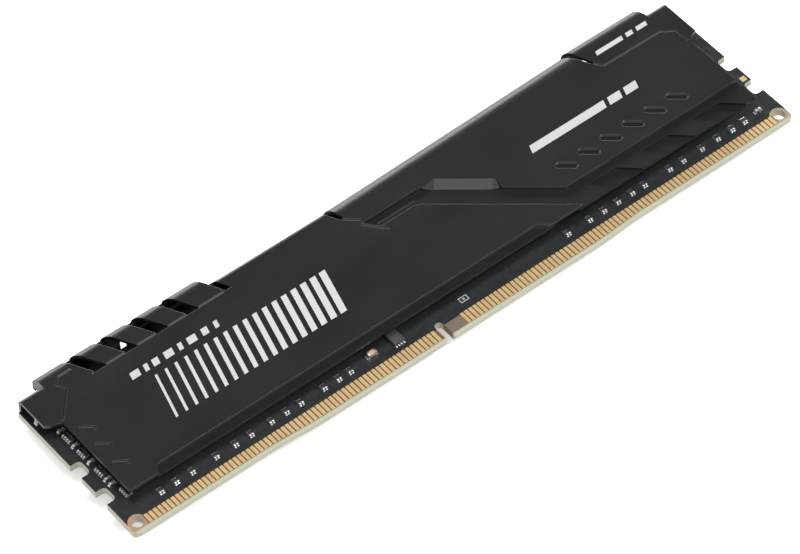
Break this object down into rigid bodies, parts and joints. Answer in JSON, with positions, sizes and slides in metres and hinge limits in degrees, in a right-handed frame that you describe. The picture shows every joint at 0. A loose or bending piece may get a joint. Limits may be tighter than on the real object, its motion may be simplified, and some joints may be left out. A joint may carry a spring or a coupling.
{
  "type": "computer memory module",
  "caption": "Desktop memory module: a contact-edged circuit board with chips held between two stamped black heat spreaders.",
  "frame": {"origin": "bottom centre of the module as it lies on its rear heat spreader", "axes": "+X along the module's length, with the key notch on the -X side of the middle; +Y from the contact edge to the upper edge; +Z out of the front heat spreader"},
  "size_m": [0.1334, 0.034, 0.0072],
  "materials": {
    "laminate": "woven fibreglass and epoxy",
    "solder_mask": "dark satin solder mask over copper tracks",
    "gold": "gold plate over nickel and copper",
    "chip": "moulded epoxy",
    "solder": "tin plate and solder",
    "thermal_tape": "soft grey tape",
    "spreader": "satin black coat on pressed aluminium",
    "tan_ceramic": "fired ceramic",
    "grey_ceramic": "fired ceramic",
    "resistor": "glassy black overcoat on ceramic",
    "board_ink": "white epoxy ink",
    "print_ink": "pale satin ink"
  },
  "bodies": {
    "root": {"laminate_board": "laminate", "front_solder_mask": "solder_mask", "rear_solder_mask": "solder_mask", "front_short_contact_row": "gold", "front_long_contact_row": "gold", "rear_short_contact_row": "gold", "rear_long_contact_row": "gold", "front_memory_chips": "chip", "rear_memory_chips": "chip", "front_chip_solder_balls": "solder", "rear_chip_solder_balls": "solder", "front_thermal_pads": "thermal_tape", "rear_thermal_pads": "thermal_tape", "front_heat_spreader": "spreader", "rear_heat_spreader": "spreader", "front_data_resistor_bodies": "resistor", "front_data_resistor_ends": "solder", "rear_data_resistor_bodies": "resistor", "rear_data_resistor_ends": "solder", "bus_array_bodies": "resistor", "bus_array_ends": "solder", "small_capacitor_bodies": "grey_ceramic", "small_capacitor_ends": "solder", "tan_capacitor_bodies": "tan_ceramic", "tan_capacitor_ends": "solder", "spd_chip_body": "chip", "spd_chip_leads": "solder", "side_test_pad": "gold", "silkscreen_mark": "board_ink", "small_row_print": "print_ink", "large_print": "print_ink", "side_print": "print_ink", "corner_print": "print_ink"}
  },
  "joints": []
}
